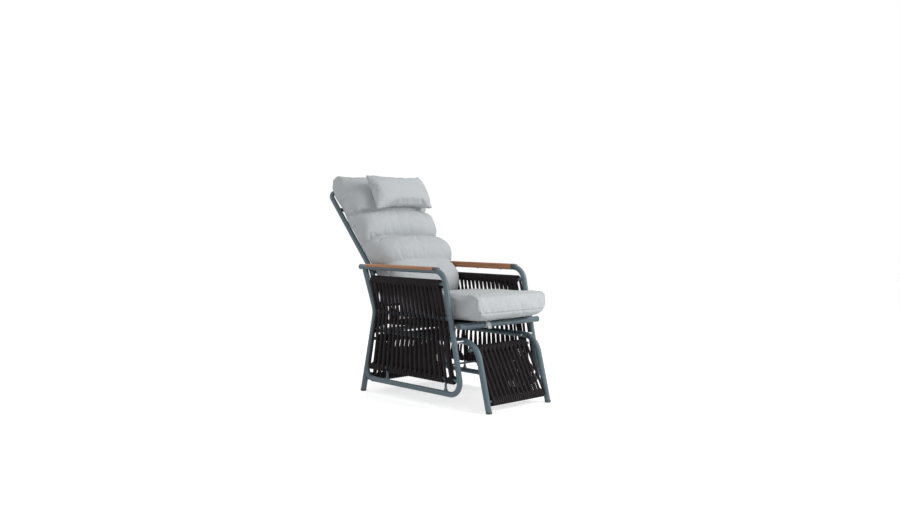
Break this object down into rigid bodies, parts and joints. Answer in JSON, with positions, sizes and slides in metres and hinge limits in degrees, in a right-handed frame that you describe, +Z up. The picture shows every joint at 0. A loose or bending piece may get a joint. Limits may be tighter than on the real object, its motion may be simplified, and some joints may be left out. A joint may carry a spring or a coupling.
{
  "type": "reclining outdoor lounge chair",
  "caption": "Outdoor reclining lounge chair with tube side frames, rope panels, teak arm pads, channelled cushion and head pillow; the back leans further on a pivot",
  "frame": {"origin": "on the floor, at the middle of the chair's width and depth", "axes": "+X to the sitter's left, +Y to the rear, +Z up"},
  "size_m": [0.5674, 1.1963, 1.1087],
  "materials": {
    "powder_coat": "slate grey powder coat, satin",
    "teak": "oiled teak",
    "dark_plastic": "moulded, dark grey",
    "rope": "round braided outdoor rope, dark charcoal",
    "sling_mesh": "woven outdoor mesh, black",
    "cushion_cloth": "light grey outdoor cloth",
    "strap_webbing": "light grey webbing",
    "fastener_steel": "stainless steel",
    "bush_nylon": "black nylon"
  },
  "bodies": {
    "chair_frame": {"arm_end_caps": "dark_plastic", "arm_pad_caps": "dark_plastic", "arm_pad_left": "teak", "arm_pad_right": "teak", "arm_pad_screws": "fastener_steel", "arm_rope_rods": "powder_coat", "cushion_strap": "strap_webbing", "floor_stretcher": "powder_coat", "front_glides": "dark_plastic", "front_leg_bolts": "fastener_steel", "front_leg_left": "powder_coat", "front_leg_right": "powder_coat", "front_leg_spacers": "fastener_steel", "front_rope": "rope", "front_rope_rods": "powder_coat", "lower_rope_rods": "powder_coat", "middle_rope_rods": "powder_coat", "pivot_bolts": "fastener_steel", "pivot_nuts": "fastener_steel", "pivot_washers": "fastener_steel", "rail_struts": "powder_coat", "rear_crossbar": "powder_coat", "rear_glides": "dark_plastic", "rear_leg_left": "powder_coat", "rear_leg_right": "powder_coat", "rear_rope": "rope", "rear_rope_rods": "powder_coat", "seat_bolts": "fastener_steel", "seat_cushion": "cushion_cloth", "seat_front_rail": "powder_coat", "seat_rail_caps": "dark_plastic", "seat_rail_left": "powder_coat", "seat_rail_right": "powder_coat", "seat_rear_bar": "powder_coat", "seat_sling": "sling_mesh", "seat_spacers": "fastener_steel", "seat_tail_caps": "dark_plastic", "side_loop_left": "powder_coat", "side_loop_right": "powder_coat", "side_rope_left": "rope", "side_rope_right": "rope"},
    "back": {"back_frame": "powder_coat", "back_crossbars": "powder_coat", "pivot_bushes": "bush_nylon", "back_tail_caps": "dark_plastic", "back_sling": "sling_mesh", "back_cushion": "cushion_cloth", "head_pillow": "cushion_cloth"}
  },
  "joints": [
    {"name": "back_recline", "type": "hinge", "parent": "chair_frame", "child": "back", "pos_m": [0, 0.16269, 0.356], "axis": [-1, 0, 0], "range_deg": [0, 25]}
  ]
}
